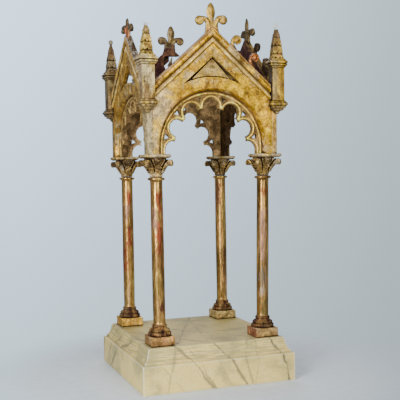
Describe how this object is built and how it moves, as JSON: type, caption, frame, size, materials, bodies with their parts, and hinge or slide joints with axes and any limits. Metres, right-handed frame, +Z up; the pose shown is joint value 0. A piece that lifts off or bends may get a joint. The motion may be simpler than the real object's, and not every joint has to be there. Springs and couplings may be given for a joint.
{
  "type": "gothic canopy on pedestal",
  "caption": "Square open altar canopy in worn gilt wood: gabled walls with cusped arches on slender columns, with pinnacles and finials, on a moulded marbled plinth.",
  "frame": {"origin": "centre of the plinth's underside", "axes": "+Z up; -Y out of the front gable, the one whose triangle is closed by a panel; +X to the right as the front is seen"},
  "size_m": [0.38, 0.38, 0.8938],
  "materials": {
    "marbled_paint": "cream and olive-grey marbling painted on wood, satin varnish",
    "ochre_gilding": "worn ochre gilding over red bole",
    "red_worn_gilding": "gilding rubbed through to red bole in long patches",
    "carved_gilding": "carved and gilded wood with dark brown patina in the hollows",
    "flat_gilding": "warm worn gold leaf on flat boards, with grey-beige dull patches",
    "grey_gilding": "gold leaf dulled to grey-beige",
    "brown_gilding": "gilded fretwork outside, plain dark brown to maroon inside"
  },
  "bodies": {
    "root": {"plinth": "marbled_paint", "foot_block_front_left": "ochre_gilding", "column_front_left": "red_worn_gilding", "capital_front_left": "carved_gilding", "abacus_front_left": "flat_gilding", "pinnacle_front_left": "grey_gilding", "spirelet_front_left": "carved_gilding", "foot_block_front_right": "ochre_gilding", "column_front_right": "red_worn_gilding", "capital_front_right": "carved_gilding", "abacus_front_right": "flat_gilding", "pinnacle_front_right": "grey_gilding", "spirelet_front_right": "carved_gilding", "foot_block_back_right": "ochre_gilding", "column_back_right": "red_worn_gilding", "capital_back_right": "carved_gilding", "abacus_back_right": "flat_gilding", "pinnacle_back_right": "grey_gilding", "spirelet_back_right": "carved_gilding", "foot_block_back_left": "ochre_gilding", "column_back_left": "red_worn_gilding", "capital_back_left": "carved_gilding", "abacus_back_left": "flat_gilding", "pinnacle_back_left": "grey_gilding", "spirelet_back_left": "carved_gilding", "wall_front": "flat_gilding", "tracery_front": "brown_gilding", "rake_front_left": "flat_gilding", "rake_front_right": "flat_gilding", "finial_front": "carved_gilding", "wall_right": "flat_gilding", "tracery_right": "brown_gilding", "rake_right_left": "flat_gilding", "rake_right_right": "flat_gilding", "finial_right": "carved_gilding", "wall_back": "flat_gilding", "tracery_back": "brown_gilding", "rake_back_left": "flat_gilding", "rake_back_right": "flat_gilding", "finial_back": "carved_gilding", "wall_left": "flat_gilding", "tracery_left": "brown_gilding", "rake_left_left": "flat_gilding", "rake_left_right": "flat_gilding", "finial_left": "carved_gilding", "front_panel": "grey_gilding", "crocket_back_right_lower": "carved_gilding", "crocket_back_right_upper": "carved_gilding", "crocket_front_right_lower": "carved_gilding", "crocket_front_right_upper": "carved_gilding", "crocket_right_left_lower": "carved_gilding", "crocket_right_left_upper": "carved_gilding", "crocket_right_right_lower": "carved_gilding", "crocket_right_right_upper": "carved_gilding", "crocket_stub_front": "carved_gilding", "crocket_stub_left": "carved_gilding"}
  },
  "joints": []
}
